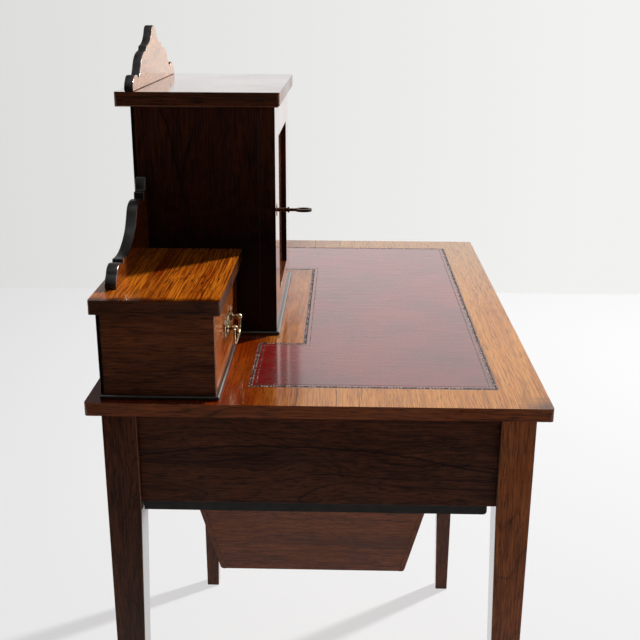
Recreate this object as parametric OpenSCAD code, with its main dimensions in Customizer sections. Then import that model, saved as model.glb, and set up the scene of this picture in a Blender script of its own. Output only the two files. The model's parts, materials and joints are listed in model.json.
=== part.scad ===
// Lady's writing desk: a table on four tapering legs with a leather writing surface,
// a raised cupboard between two small drawer boxes, a frieze drawer and a sliding well.
// X runs along the desk, the front faces -Y, Z is up, and the origin is on the floor
// under the middle of the desktop.

/* [Desk] */
// Length of the desktop, left to right
desk_w = 810; // [770:5:900]
// Depth of the desktop, front to back
desk_d = 542; // [520:1:600]
// Height of the writing surface above the floor
desk_h = 750; // [700:5:790]
// Thickness of the desktop
top_t = 16; // [14:1:22]
// How far the desktop runs past the legs at each end
end_overhang = 14; // [8:1:20]
// How far the desktop runs past the legs at front and back
front_overhang = 16; // [10:1:22]
// Radius of the desktop's corners in plan
top_corner_r = 4; // [2:1:12]

/* [Leather] */
// Wooden border between the leather and the ends of the desktop
band_end = 56; // [40:1:80]
// Wooden border between the leather and the front edge
band_front = 56; // [35:1:75]
// Wooden border between the leather and the drawer boxes
band_back = 32.5; // [20:0.5:50]
// Wooden border between the leather and the cupboard's door
notch_front = 37.5; // [25:0.5:55]
// Wooden border between the leather and the cupboard's sides
notch_side = 35; // [20:1:50]
// Thickness of the leather
leather_t = 1.2; // [0.8:0.1:2]

/* [Legs] */
// Width of a leg at the top, both ways
leg_w = 41; // [34:1:46]
// Width of a leg at the floor, both ways
foot_w = 24; // [16:1:32]
// Where the taper starts, below the underside of the frieze
taper_drop = 8; // [0:1:40]
// Chamfer round the foot
foot_chamfer = 1.5; // [0.5:0.5:3]

/* [Frieze] */
// Height of the frieze rails under the desktop
frieze_h = 123; // [110:1:140]
// Thickness of the side and back rails
rail_t = 18; // [14:1:20]
// How far the side and back rails stand back from the legs
rail_inset = 10; // [6:1:12]
// Height of the rail above the frieze drawer
top_rail_h = 16; // [12:1:20]
// Height of the rail below the frieze drawer
bottom_rail_h = 25; // [18:1:30]
// Depth of the two front rails
front_rail_d = 30; // [24:1:34]
// How far the front rails and the drawer front stand back from the legs
front_rail_inset = 2; // [1:0.5:4]
// Thickness of the tenons
tenon_t = 10; // [8:1:12]

/* [Drawer and well runners] */
// Width of a runner inside the side rail
runner_w = 28; // [24:1:34]
// How far a runner stands back under the side rail's face
runner_set_back = 2; // [1:0.5:6]
// How far a runner shows below the side rail
runner_drop = 12; // [11:0.5:16]
// Gap between the runner's end and the front leg
runner_front_gap = 9; // [6:1:20]
// Height of the guide strip that steers the frieze drawer
guide_h = 14; // [8:1:20]
// Width of a kicker, the strip that stops the open drawer tipping
kicker_w = 25; // [20:1:32]
// Depth of the groove that carries the well's frame
groove_d = 8; // [6:1:12]

/* [Drawers] */
// Thickness of the frieze drawer's front
frieze_front_t = 18; // [14:1:22]
// Thickness of the small drawers' fronts
small_front_t = 12; // [10:1:16]
// Thickness of the frieze drawer's sides
frieze_side_t = 9; // [7:1:12]
// Thickness of the small drawers' sides
small_side_t = 7; // [6:1:9]
// Thickness of the drawers' bottoms
drawer_bottom_t = 4; // [3:0.5:6]
// Wood left in front of the dovetails
dovetail_lap = 4; // [3:0.5:6]
// Gap round a drawer's front
drawer_gap = 0.6; // [0.4:0.1:1]

/* [Well] */
// Height of the well's underside above the floor
well_z = 397; // [360:1:440]
// Length of the well at its mouth
well_top_w = 470; // [420:2:520]
// Length of the well at its bottom
well_foot_w = 380; // [320:2:410]
// Depth of the well at its mouth
well_top_d = 360; // [320:2:380]
// Depth of the well at its bottom
well_foot_d = 270; // [230:2:300]
// How far the well stands behind the middle of the desk
well_back = 13; // [8:1:20]
// Thickness of the well's boards
well_t = 8; // [6:0.5:10]
// Thickness of the frame that carries the well
slide_t = 8; // [6:0.5:8.5]
// Radius along the well's bottom edges
well_round = 5; // [2:1:7]

/* [Cupboard] */
// Length of the cupboard
cab_w = 308; // [280:2:340]
// Depth of the cupboard with its door
cab_d = 188; // [175:1:200]
// Height of the cupboard below its cornice
cab_h = 311; // [290:1:350]
// How far the cupboard's back stands in from the desktop's back edge
cab_inset = 19; // [12:1:24]
// Thickness of the cupboard's sides
cab_side_t = 12; // [11:1:14]
// Thickness of the back boards
back_t = 6; // [4:0.5:8]
// Thickness of the shelf
shelf_t = 8; // [6:1:10]
// Thickness of the cornice
cornice_t = 19; // [14:1:22]
// How far the cornice runs past the cupboard's sides and front
cornice_out = 7; // [5:0.5:10]
// Radius of the hollow worked along the cornice's lower edges
cove_r = 2; // [1:0.5:5]

/* [Door] */
// Thickness of the door
door_t = 21; // [18:1:24]
// Width of the door's stiles
stile_w = 69; // [60:1:80]
// Height of the door's top rail
door_top_h = 46; // [40:1:60]
// Height of the door's bottom rail
door_foot_h = 38; // [34:1:50]
// Recess of the door's panel behind its frame
panel_recess = 7.5; // [5:0.5:9]
// Thickness of the door's panel
panel_t = 6; // [4:0.5:8]
// Gap between the door and the cupboard
door_gap = 0.4; // [0.3:0.1:0.8]
// Distance of the keyhole from the door's edge
backset = 26; // [24:1:32]
// Height of the keyhole above the desktop
keyhole_h = 171; // [140:1:200]

/* [Drawer boxes] */
// How far a drawer box stands in from the end of the desktop
box_inset = 15; // [10:1:25]
// Height of a drawer box below its lid
box_h = 105; // [96:1:120]
// Depth of a drawer box
box_d = 135; // [125:1:150]
// How far a drawer box runs back past the cupboard
box_back_out = 2; // [0:0.5:4]
// Thickness of a drawer box's end board
box_end_t = 10; // [8:1:12]
// Thickness of a drawer box's lid
lid_t = 17; // [14:1:20]
// How far a lid runs past its box at the end and the front
lid_out = 8.5; // [6:0.5:12]
// How far a lid runs past its box at the back
lid_back_out = 6; // [3:0.5:8]
// Height of the bead round the cupboard and the drawer boxes
bead_h = 5; // [4:0.5:7]
// How far the bead stands out
bead_out = 4; // [3:0.5:4.5]

/* [Galleries] */
// Height of the gallery on the cornice
top_gallery_h = 78; // [60:1:100]
// Height of the galleries on the drawer boxes
side_gallery_h = 98; // [80:1:120]
// Length of the galleries on the drawer boxes
side_gallery_w = 202; // [170:1:220]
// Thickness of the gallery on the cornice
top_gallery_t = 12; // [10:0.5:15]
// Thickness of the galleries on the drawer boxes
side_gallery_t = 14; // [10:0.5:16]

/* [Pulls] */
// Distance between the two posts of a pull
post_pitch = 48; // [42:1:56]
// Distance that the bail's axis stands off the drawer's front
post_reach = 12.5; // [11:0.5:15]
// How far a bail hangs below its posts
bail_drop = 22; // [18:1:26]
// Radius of the bail's bar
bail_r = 1.7; // [1.4:0.1:2.2]
// Thickness of the pierced plate
plate_t = 1.6; // [1.2:0.1:2.4]
// Distance of each frieze pull from the middle of the frieze drawer
frieze_pull_x = 205; // [150:1:260]

/* [Hidden] */
$fn = 48;

// Clearances
glue_line = 0.05;
joint_gap = 0.2;
panel_gap = 0.1;
pin_gap = 0.05;
leather_gap = 0.2;
slide_gap = 0.4;

// Desk
leg_x = desk_w / 2 - end_overhang;
leg_y = desk_d / 2 - front_overhang;
leg_in_x = leg_x - leg_w;
leg_in_y = leg_y - leg_w;
under_top = desk_h - top_t;
rail_z = under_top - frieze_h;
rail_in_x = leg_x - rail_inset - rail_t;
rail_in_y = leg_y - rail_inset - rail_t;
front_y = -(leg_y - front_rail_inset);
front_rail_back_y = front_y + front_rail_d;
tenon_shoulder = 10;
tenon_l = leg_w - rail_inset - (rail_t + tenon_t) / 2 - 1;
front_tenon_in = [6, 5];
drawer_z = rail_z + bottom_rail_h;
opening_top_z = under_top - top_rail_h;

// Runners and the frame of the well
runner_z = rail_z - runner_drop;
runner_in_x = rail_in_x - runner_w;
runner_out_x = rail_in_x + rail_t - runner_set_back;
runner_back_gap = 1;
runner_y = [-leg_in_y + runner_front_gap, leg_in_y - runner_back_gap];
guide_gap = 0.3;
runner_nose_r = 4;
slide_top_gap = 1;
slide_z = rail_z - slide_t - slide_top_gap;
slide_half_w = runner_in_x + groove_d - slide_gap;
slide_front_d = 19;
slide_front_in = 1;
slide_side_gap = 1;
slide_back_gap = 12;
slide_y = [front_y + slide_front_in + slide_front_d, leg_in_y - slide_back_gap];
knob_r = 5;
knob_neck = [2.6, 7];

// Frieze drawer
frieze_w = 2 * (leg_in_x - drawer_gap);
frieze_opening_h = opening_top_z - drawer_z;
frieze_back_gap = 18;
frieze_d = rail_in_y - frieze_back_gap - front_y;

// Cupboard
cab_back_y = desk_d / 2 - cab_inset;
cab_front_y = cab_back_y - cab_d;
carcass_front_y = cab_front_y + door_t + door_gap;
cab_x = cab_w / 2;
cab_in_x = cab_x - cab_side_t;
cab_top_z = desk_h + cab_h;
floor_z = desk_h + bead_h;
rebate = 6;
housing_d = 4;
shelf_share = 0.46;
shelf_z = floor_z + cab_h * shelf_share;
lock_d = 11;
cornice_corner_r = 3;
shelf_front_y = carcass_front_y + lock_d + 4;

// Door
door_z = [floor_z + 0.5, cab_top_z - 0.5];
door_back_y = cab_front_y + door_t;
opening_x = cab_x - stile_w;
opening_z = [door_z[0] + door_foot_h, door_z[1] - door_top_h];
panel_y = cab_front_y + panel_recess;
panel_tongue = 6;

// Hinges
hinge_h = 38;
hinge_end = 36;
leaf_t = 1.2;
leaf_w = cab_side_t - 1;
knuckle_r = 2.2;
hinge_pin_r = 1.1;
hinge_x = cab_x;
hinge_y = door_back_y + door_gap / 2;
knuckle_gap = 0.3;

// Lock and key
key_x = -cab_x + backset;
key_z = desk_h + keyhole_h;
lock_w = 36;
lock_h = 34;
lock_edge = 2;
lock_x = -cab_in_x + lock_edge;
lock_wall = 1.6;
bolt_y = [door_back_y + 3.4, door_back_y + 8.4];
bolt_z = [key_z + 3.6, key_z + 11.6];
bolt_throw = 7;
shank_r = 2.6;
bit_l = 6.8;
bit_t = 2;
talon = [key_x - 1.8, key_x + 8.8];
talon_h = bit_l + 0.8;
bolt_gap = 0.2;
keyhole_gap = 0.4;
shank_gap = 0.3;

// Drawer boxes
box_x = desk_w / 2 - box_inset;
box_in_x = box_x - box_end_t;
box_back_y = cab_back_y + box_back_out;
box_front_y = box_back_y - box_d;
box_top_z = desk_h + box_h;
liner_t = knuckle_r;
small_in_x = cab_x + liner_t + drawer_gap;
small_out_x = box_in_x - drawer_gap;
small_w = small_out_x - small_in_x;
small_mid_x = (small_out_x + small_in_x) / 2;
small_opening_h = box_top_z - floor_z;
small_back_gap = 4;
lid_corner_r = 2;
small_d = box_d - back_t - small_back_gap;

// Galleries
top_gallery_end = 1;
top_gallery_x = cab_x + cornice_out - top_gallery_end;
top_gallery_in = 6.5;
top_gallery_y = cab_back_y - top_gallery_in;
side_gallery_in = 4;
side_gallery_y = box_back_y - side_gallery_in - side_gallery_t;

// Pulls
post_x = post_pitch / 2;
ball_r = 4.2;
shank_hole_r = 2.2;
bail_bend = 3.2;
bail_leg_x = post_x + ball_r + 0.4 + bail_bend;
bail_corner_r = 14;
small_pull_z = floor_z + small_opening_h / 2;
frieze_pull_z = (drawer_z + opening_top_z) / 2;

rosewood = [0.36, 0.17, 0.08];
rosewood_light = [0.55, 0.29, 0.12];
ebonised = [0.10, 0.08, 0.07];
lining = [0.72, 0.55, 0.34];
brass = [0.78, 0.62, 0.30];
iron = [0.25, 0.19, 0.15];

// A board given by its two faces along each axis
module slab(x, y, z) {
  translate([x[0], y[0], z[0]]) cube([x[1] - x[0], y[1] - y[0], z[1] - z[0]]);
}

// A slab with rounded vertical corners
module round_slab(x, y, z, r) {
  slab([x[0] + r, x[1] - r], y, z);
  slab(x, [y[0] + r, y[1] - r], z);
  for (cx = [x[0] + r, x[1] - r], cy = [y[0] + r, y[1] - r])
    translate([cx, cy, z[0]]) cylinder(r = r, h = z[1] - z[0]);
}

// An outline in Y and Z drawn out along X
module along_x(x, outline) {
  translate([x[0], 0, 0]) rotate([90, 0, 90]) linear_extrude(x[1] - x[0]) polygon(outline);
}

// An outline in X and Z drawn out along Y
module along_y(y, outline) {
  translate([0, y[1], 0]) rotate([90, 0, 0]) linear_extrude(y[1] - y[0]) polygon(outline);
}

// What is drawn for the right-hand side, or its mirror image for the left
module on_side(side) {
  mirror([side < 0 ? 1 : 0, 0, 0]) children();
}

// A round bar along Y, from the front
module bar_y(x, y, z, r) {
  translate([x, y[1], z]) rotate([90, 0, 0]) cylinder(r = r, h = y[1] - y[0]);
}

// Points of an arc, and of a curve that leaves a towards b and ends at c
function arc(c, r, from, to, n = 8) =
  [for (i = [0:n]) let (a = from + (to - from) * i / n) [c[0] + r * cos(a), c[1] + r * sin(a)]];
function curve(a, b, c, n = 7) =
  [for (i = [1:n]) let (t = i / n) (1 - t) * (1 - t) * a + 2 * t * (1 - t) * b + t * t * c];

// Tenons of the rails, grown all round by a gap where the leg is cut for them
module side_tenon(grow = 0) {
  mid = leg_x - rail_inset - rail_t / 2;
  slab([mid - tenon_t / 2 - grow, mid + tenon_t / 2 + grow],
    [leg_in_y - 1, leg_in_y + tenon_l + grow],
    [rail_z + tenon_shoulder - grow, under_top - tenon_shoulder + grow]);
}
module back_tenon(grow = 0) {
  mid = leg_y - rail_inset - rail_t / 2;
  slab([leg_in_x - 1, leg_in_x + tenon_l + grow],
    [mid - tenon_t / 2 - grow, mid + tenon_t / 2 + grow],
    [rail_z + tenon_shoulder - grow, under_top - tenon_shoulder + grow]);
}
module front_tenon(z, grow = 0) {
  mid = (z[0] + z[1]) / 2;
  slab([leg_in_x - 1, leg_in_x + tenon_l + grow],
    [front_y + front_tenon_in[0] - grow, front_rail_back_y - front_tenon_in[1] + grow],
    [mid - tenon_t / 2 - grow, mid + tenon_t / 2 + grow]);
}
top_rail_z = [opening_top_z, under_top];
bottom_rail_z = [rail_z, drawer_z];

module desktop() {
  color(rosewood_light) difference() {
    round_slab([-desk_w / 2, desk_w / 2], [-desk_d / 2, desk_d / 2], [under_top, desk_h], top_corner_r);
    leather_shape(leather_t + 1, leather_gap);
  }
}

module leather_shape(thick, grow) {
  x = desk_w / 2 - band_end + grow;
  notch_x = cab_x + notch_side - grow;
  front = -desk_d / 2 + band_front - grow;
  back = box_front_y - band_back + grow;
  notch_y = cab_front_y - notch_front + grow;
  translate([0, 0, desk_h - leather_t]) linear_extrude(thick)
    polygon([[-x, front], [x, front], [x, back], [notch_x, back], [notch_x, notch_y],
      [-notch_x, notch_y], [-notch_x, back], [-x, back]]);
}

module leather() {
  color("darkred") leather_shape(leather_t, 0);
}

// The outline of a leg along one axis: upright outside, tapering inside
function leg_outline(outer) = [
  [outer - foot_w + foot_chamfer, 0], [outer - foot_chamfer, 0], [outer, foot_chamfer],
  [outer, under_top], [outer - leg_w, under_top], [outer - leg_w, rail_z - taper_drop],
  [outer - foot_w, foot_chamfer]];

module leg(side, is_front) {
  color(rosewood) on_side(side) difference() {
    mirror([0, is_front ? 1 : 0, 0]) difference() {
      intersection() {
        along_y([leg_in_y - 1, leg_y + 1], leg_outline(leg_x));
        along_x([leg_in_x - 1, leg_x + 1], leg_outline(leg_y));
      }
      side_tenon(joint_gap);
      if (!is_front) back_tenon(joint_gap);
    }
    if (is_front) {
      front_tenon(top_rail_z, joint_gap);
      front_tenon(bottom_rail_z, joint_gap);
    }
  }
}

module side_rail(side) {
  color(rosewood) on_side(side) union() {
    slab([rail_in_x, rail_in_x + rail_t], [-leg_in_y, leg_in_y], [rail_z, under_top]);
    for (end = [0, 1]) mirror([0, end, 0]) side_tenon();
  }
}

module back_rail() {
  color(rosewood) union() {
    slab([-leg_in_x, leg_in_x], [rail_in_y, rail_in_y + rail_t], [rail_z, under_top]);
    for (side = [-1, 1]) on_side(side) back_tenon();
  }
}

module front_rail(z) {
  color(rosewood) union() {
    slab([-leg_in_x, leg_in_x], [front_y, front_rail_back_y], z);
    for (side = [-1, 1]) on_side(side) front_tenon(z);
  }
}
module front_top_rail() {
  front_rail(top_rail_z);
}
module front_bottom_rail() {
  front_rail(bottom_rail_z);
}

// Runners: a ledge for the frieze drawer, a guide beside it, a groove for the well's frame and
// a strip that shows under the side rail, with a kicker above the drawer's sides
module runners() {
  guide_x = frieze_w / 2 + guide_gap;
  outline = concat(
    arc([runner_y[0] + runner_nose_r, runner_z + runner_nose_r], runner_nose_r, 180, 270),
    [[runner_y[1], runner_z], [runner_y[1], drawer_z + guide_h], [runner_y[0], drawer_z + guide_h]]);
  color(ebonised) for (side = [-1, 1]) on_side(side) {
    difference() {
      along_x([runner_in_x, runner_out_x], outline);
      slab([rail_in_x, runner_out_x + 1], [-leg_y, leg_y], [rail_z, under_top]);
      slab([runner_in_x - 1, guide_x], [-leg_y, leg_y], [drawer_z, under_top]);
      slab([runner_in_x - 1, runner_in_x + groove_d], [-leg_y, leg_y],
        [slide_z, slide_z + slide_t + slide_gap]);
    }
    slab([rail_in_x - kicker_w, rail_in_x], [-leg_in_y, leg_in_y], top_rail_z);
  }
}

// Dovetails on the front end of a drawer's side, or their sockets where they are grown
module tails(x, h, front_t, grow = 0) {
  count = 3;
  pitch = h / count;
  root = pitch * 0.27;
  reach = front_t - dovetail_lap;
  tip = root + reach / 7;
  for (i = [0:count - 1])
    along_x([x[0] - grow, x[1] + grow], [
      [front_t + 0.5, (i + 0.5) * pitch - root - grow],
      [front_t + 0.5, (i + 0.5) * pitch + root + grow],
      [front_t - reach - grow, (i + 0.5) * pitch + tip + grow],
      [front_t - reach - grow, (i + 0.5) * pitch - tip - grow]]);
}

// A drawer's pieces, with the middle of the front's lower edge at the origin
bottom_up = 7;
tongue = 4;
module drawer_front(w, h, front_t, side_t) {
  difference() {
    slab([-w / 2, w / 2], [0, front_t], [drawer_gap, h - drawer_gap]);
    for (side = [-1, 1]) on_side(side)
      tails([w / 2 - side_t, w / 2 + 1], h - 2, front_t, joint_gap);
    slab([-w / 2 + side_t - tongue, w / 2 - side_t + tongue], [front_t - tongue, front_t + 1],
      [bottom_up, bottom_up + drawer_bottom_t + panel_gap]);
  }
}
module drawer_sides(w, d, h, front_t, side_t) {
  for (side = [-1, 1]) on_side(side) difference() {
    union() {
      slab([w / 2 - side_t, w / 2], [front_t, d], [0, h - 2]);
      tails([w / 2 - side_t, w / 2], h - 2, front_t);
    }
    slab([w / 2 - side_t - 1, w / 2 - side_t + tongue], [0, d + 1],
      [bottom_up, bottom_up + drawer_bottom_t + panel_gap]);
  }
  back_x = w / 2 - side_t - glue_line;
  slab([-back_x, back_x], [d - side_t, d], [bottom_up + drawer_bottom_t + panel_gap, h - 10]);
}
module drawer_bottom(w, d, front_t, side_t) {
  x = w / 2 - side_t + tongue - panel_gap;
  slab([-x, x], [front_t - tongue + panel_gap, d], [bottom_up, bottom_up + drawer_bottom_t]);
}

module frieze_drawer_front() {
  color(rosewood_light) difference() {
    translate([0, front_y, drawer_z])
      drawer_front(frieze_w, frieze_opening_h, frieze_front_t, frieze_side_t);
    for (x = [-frieze_pull_x, frieze_pull_x]) shank_holes(x, front_y, frieze_pull_z, frieze_front_t);
  }
}
module frieze_drawer_sides() {
  color(lining) translate([0, front_y, drawer_z])
    drawer_sides(frieze_w, frieze_d, frieze_opening_h, frieze_front_t, frieze_side_t);
}
module frieze_drawer_bottom() {
  color(lining) translate([0, front_y, drawer_z])
    drawer_bottom(frieze_w, frieze_d, frieze_front_t, frieze_side_t);
}

module small_drawer_front(side) {
  color(rosewood_light) difference() {
    translate([side * small_mid_x, box_front_y, floor_z])
      drawer_front(small_w, small_opening_h, small_front_t, small_side_t);
    shank_holes(side * small_mid_x, box_front_y, small_pull_z, small_front_t);
  }
}
module small_drawer_sides(side) {
  color(lining) translate([side * small_mid_x, box_front_y, floor_z])
    drawer_sides(small_w, small_d, small_opening_h, small_front_t, small_side_t);
}
module small_drawer_bottom(side) {
  color(lining) translate([side * small_mid_x, box_front_y, floor_z])
    drawer_bottom(small_w, small_d, small_front_t, small_side_t);
}

// Holes through a drawer's front for the posts of a pull
module shank_holes(x, y, z, front_t) {
  for (dx = [-post_x, post_x]) bar_y(x + dx, [y - 1, y + front_t + 1], z, shank_hole_r);
}

// A leaf-shaped piercing, pointed at one end
function leaf(c, length, width, turn, n = 14) = [
  for (i = [0:n - 1])
    let (a = 360 * i / n, u = length / 2 * cos(a), v = width / 2 * sin(a) * (1 - cos(a)) / 1.3)
    [c[0] + u * cos(turn) - v * sin(turn), c[1] + u * sin(turn) + v * cos(turn)]];

// Right half of the pierced plate's outline, from the crest down to the drop
plate_half = concat(
  [[0, 11]], curve([0, 11], [5, 12.5], [8, 8], 5), curve([8, 8], [17, 4], [24, 9], 5),
  curve([24, 9], [28, 14], [34, 13], 5), curve([34, 13], [39, 10], [35, 4], 5),
  curve([35, 4], [31, 0], [35, -4], 4), curve([35, -4], [37, -10], [29, -10], 5),
  curve([29, -10], [22, -9], [18, -13], 4), curve([18, -13], [10, -17], [7, -12], 5),
  curve([7, -12], [4, -11], [0, -16], 4));

module pull_plate() {
  left_half = [for (i = [len(plate_half) - 2:-1:1]) [-plate_half[i][0], plate_half[i][1]]];
  difference() {
    along_y([-plate_t, 0], concat(plate_half, left_half));
    for (side = [-1, 1]) on_side(side) {
      bar_y(32.5, [-plate_t - 1, 1], 9.2, 1.7);
      bar_y(31.3, [-plate_t - 1, 1], -6.2, 1.8);
      bar_y(post_x, [-plate_t - 1, 1], 0, shank_hole_r);
      along_y([-plate_t - 1, 1], leaf([14.5, 2.2], 9, 3.6, 165));
      along_y([-plate_t - 1, 1], leaf([13.5, -6.5], 10, 4, 205));
      along_y([-plate_t - 1, 1], leaf([4.6, -3.4], 8.4, 3.4, 250));
      along_y([-plate_t - 1, 1], leaf([3.4, 6.4], 5.6, 2.6, 100));
    }
  }
}

// A post turned in one piece, out from the drawer's front: drilled ball, neck and collar,
// then the bolt through the front and its nut
module pull_post(front_t) {
  bolt_r = shank_hole_r - joint_gap;
  nut_r = 5;
  collar_r = 5.2;
  collar = plate_t + glue_line;
  profile = concat(
    arc([0, post_reach], ball_r, 90, -48, 10),
    [[2.4, post_reach - ball_r - 0.4], [2.8, collar + 3.2], [collar_r, collar + 2.2],
    [collar_r, collar], [bolt_r, collar], [bolt_r, -front_t - glue_line],
    [nut_r, -front_t - glue_line], [nut_r, -front_t - 2.6], [bolt_r, -front_t - 2.6],
    [bolt_r, -front_t - 4], [0, -front_t - 4]]);
  difference() {
    rotate([90, 0, 0]) rotate_extrude() polygon(profile);
    translate([-ball_r - 1, -post_reach, 0]) rotate([0, 90, 0])
      cylinder(r = bail_r + pin_gap, h = 2 * ball_r + 2);
  }
}

module pull_posts(front_t) {
  for (x = [-post_x, post_x]) translate([x, 0, 0]) pull_post(front_t);
}

// A bail: pins that turn in the posts, bent down and joined by a grip
module bail() {
  side_z = -bail_drop + bail_corner_r;
  translate([0, -post_reach, 0]) {
    for (side = [-1, 1]) on_side(side) {
      translate([post_x - ball_r + 0.6, 0, 0]) rotate([0, 90, 0])
        cylinder(r = bail_r, h = bail_leg_x - bail_bend - post_x + ball_r - 0.6);
      translate([bail_leg_x - bail_bend, 0, -bail_bend]) rotate([90, 0, 0])
        rotate_extrude(angle = 90) translate([bail_bend, 0]) circle(r = bail_r);
      translate([bail_leg_x, 0, side_z]) cylinder(r = bail_r, h = -bail_bend - side_z);
      translate([bail_leg_x - bail_corner_r, 0, side_z]) rotate([90, 0, 0]) rotate([0, 0, -90])
        rotate_extrude(angle = 90) translate([bail_corner_r, 0]) circle(r = bail_r);
    }
    translate([-bail_leg_x + bail_corner_r, 0, -bail_drop]) rotate([0, 90, 0])
      cylinder(r = bail_r, h = 2 * (bail_leg_x - bail_corner_r));
  }
}

module small_pull_place(side) {
  translate([side * small_mid_x, box_front_y, small_pull_z]) children();
}
module frieze_pull_place(side) {
  translate([side * frieze_pull_x, front_y, frieze_pull_z]) children();
}
module frieze_plates() {
  color(brass) for (side = [-1, 1]) frieze_pull_place(side) pull_plate();
}
module frieze_posts() {
  color(brass) for (side = [-1, 1]) frieze_pull_place(side) pull_posts(frieze_front_t);
}

// Half length and half depth of the well's outside at a height, and those of its mouth inside
function well_share(z) = (z - well_z) / (slide_z - well_z);
function well_half_x(z) = (well_foot_w + (well_top_w - well_foot_w) * well_share(z)) / 2;
function well_half_y(z) = (well_foot_d + (well_top_d - well_foot_d) * well_share(z)) / 2;
mouth_x = well_top_w / 2 - well_t;
mouth_y = well_top_d / 2 - well_t;

// The frame that slides in the runners: two bearers and two cross rails round the mouth
module slide_frame() {
  z = [slide_z, slide_z + slide_t];
  color(lining) {
    for (side = [-1, 1]) on_side(side) slab([mouth_x, slide_half_w], slide_y, z);
    cross_x = mouth_x - glue_line;
    slab([-cross_x, cross_x], [slide_y[0], well_back - mouth_y], z);
    slab([-cross_x, cross_x], [well_back + mouth_y, slide_y[1]], z);
  }
}

// Front edge of the well's frame, with a turned knob
module slide_front() {
  half_w = leg_in_x - slide_side_gap;
  z = [runner_z, rail_z - slide_top_gap];
  nose = (z[1] - z[0]) / 2;
  y = [front_y + slide_front_in, slide_y[0]];
  outline = concat([[y[1], z[1]]], arc([y[0] + nose, z[0] + nose], nose, 90, 270), [[y[1], z[0]]]);
  color(rosewood) union() {
    along_x([-half_w, half_w], outline);
    bar_y(0, [y[0] - knob_neck[1], y[0] + 1], z[0] + nose, knob_neck[0]);
    translate([0, y[0] - knob_neck[1], z[0] + nose]) sphere(r = knob_r);
  }
}

// Splayed boards of the well. The front and back boards cover the ends of the sides.
function splay_x(z) = [
  [-well_half_x(z[0]), z[0]], [well_half_x(z[0]), z[0]],
  [well_half_x(z[1]), z[1]], [-well_half_x(z[1]), z[1]]];
module well_long_board(end) {
  z = [well_z, slide_z];
  mirror_y = end < 0 ? 1 : 0;
  outline = concat(
    arc([well_half_y(z[0]) - well_round, z[0] + well_round], well_round, 270, 347),
    [[well_half_y(z[1]), z[1]], [well_half_y(z[1]) - well_t, z[1]], [well_half_y(z[0]) - well_t, z[0]]]);
  translate([0, well_back, 0]) mirror([0, mirror_y, 0]) intersection() {
    along_x([-well_top_w, well_top_w], outline);
    along_y([0, well_top_d], splay_x(z));
  }
}
module well_front() {
  color(rosewood) well_long_board(-1);
}
module well_back_board() {
  color(rosewood) well_long_board(1);
}
module well_sides() {
  z = [well_z, slide_z];
  inset = well_t + glue_line;
  between = [
    [-well_half_y(z[0]) + inset, z[0]], [well_half_y(z[0]) - inset, z[0]],
    [well_half_y(z[1]) - inset, z[1]], [-well_half_y(z[1]) + inset, z[1]]];
  board = [
    [well_half_x(z[0]) - well_t, z[0]], [well_half_x(z[0]), z[0]],
    [well_half_x(z[1]), z[1]], [well_half_x(z[1]) - well_t, z[1]]];
  color(rosewood) translate([0, well_back, 0]) for (side = [-1, 1]) on_side(side) intersection() {
    along_y([-well_top_d, well_top_d], board);
    along_x([0, well_top_w], between);
  }
}
module well_bottom() {
  z = [well_z, well_z + well_t];
  inset = well_t + glue_line;
  x = well_half_x(z[0]) - inset;
  y = well_half_y(z[0]) - inset;
  color(lining) translate([0, well_back, 0]) slab([-x, x], [-y, y], z);
}

// Thin boards on the desktop under the cupboard and under the drawer boxes
module base_boards() {
  color(rosewood) {
    slab([-cab_x, cab_x], [cab_front_y, cab_back_y], [desk_h, floor_z]);
    for (side = [-1, 1]) on_side(side)
      slab([cab_x + glue_line, box_x], [box_front_y, box_back_y], [desk_h, floor_z]);
  }
}

// Back boards of the cupboard and of the drawer boxes
module back_boards() {
  x = cab_in_x + rebate - panel_gap;
  color(lining) {
    slab([-x, x], [cab_back_y - back_t, cab_back_y], [floor_z, cab_top_z]);
    for (side = [-1, 1]) on_side(side)
      slab([cab_x, box_in_x + rebate / 2 - panel_gap], [box_back_y - back_t, box_back_y],
        [floor_z, box_top_z]);
  }
}

module cupboard_side(side) {
  color(rosewood) on_side(side) difference() {
    slab([cab_in_x, cab_x], [carcass_front_y, cab_back_y], [floor_z, cab_top_z]);
    slab([cab_in_x - 1, cab_in_x + rebate], [cab_back_y - back_t, cab_back_y + 1],
      [floor_z - 1, cab_top_z + 1]);
    slab([cab_in_x - 1, cab_in_x + housing_d + panel_gap], [shelf_front_y - 0.5, cab_back_y],
      [shelf_z, shelf_z + shelf_t + panel_gap]);
    if (side < 0)
      slab([cab_in_x - 1, cab_in_x + bolt_throw - lock_edge + 1.2], [bolt_y[0] - 0.5, bolt_y[1] + 0.5],
        [bolt_z[0] - 0.5, bolt_z[1] + 0.5]);
    if (side > 0) hinge_places() leaf_recess([carcass_front_y - 1, carcass_front_y + leaf_t]);
  }
}
module cupboard_shelf() {
  x = cab_in_x + housing_d;
  color(rosewood) slab([-x, x], [shelf_front_y, cab_back_y - back_t], [shelf_z, shelf_z + shelf_t]);
}

// Cornice with a cove worked under its front and end edges
module cornice() {
  x = cab_x + cornice_out;
  y = [cab_front_y - cornice_out, desk_d / 2];
  z = [cab_top_z, cab_top_z + cornice_t];
  color(rosewood_light) difference() {
    round_slab([-x, x], y, z, cornice_corner_r);
    translate([-x - 1, y[0], z[0]]) rotate([0, 90, 0]) cylinder(r = cove_r, h = 2 * x + 2);
    for (end = [-x, x]) translate([end, y[0] - 1, z[0]]) rotate([-90, 0, 0])
      cylinder(r = cove_r, h = y[1] - y[0] + 2);
  }
}

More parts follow.
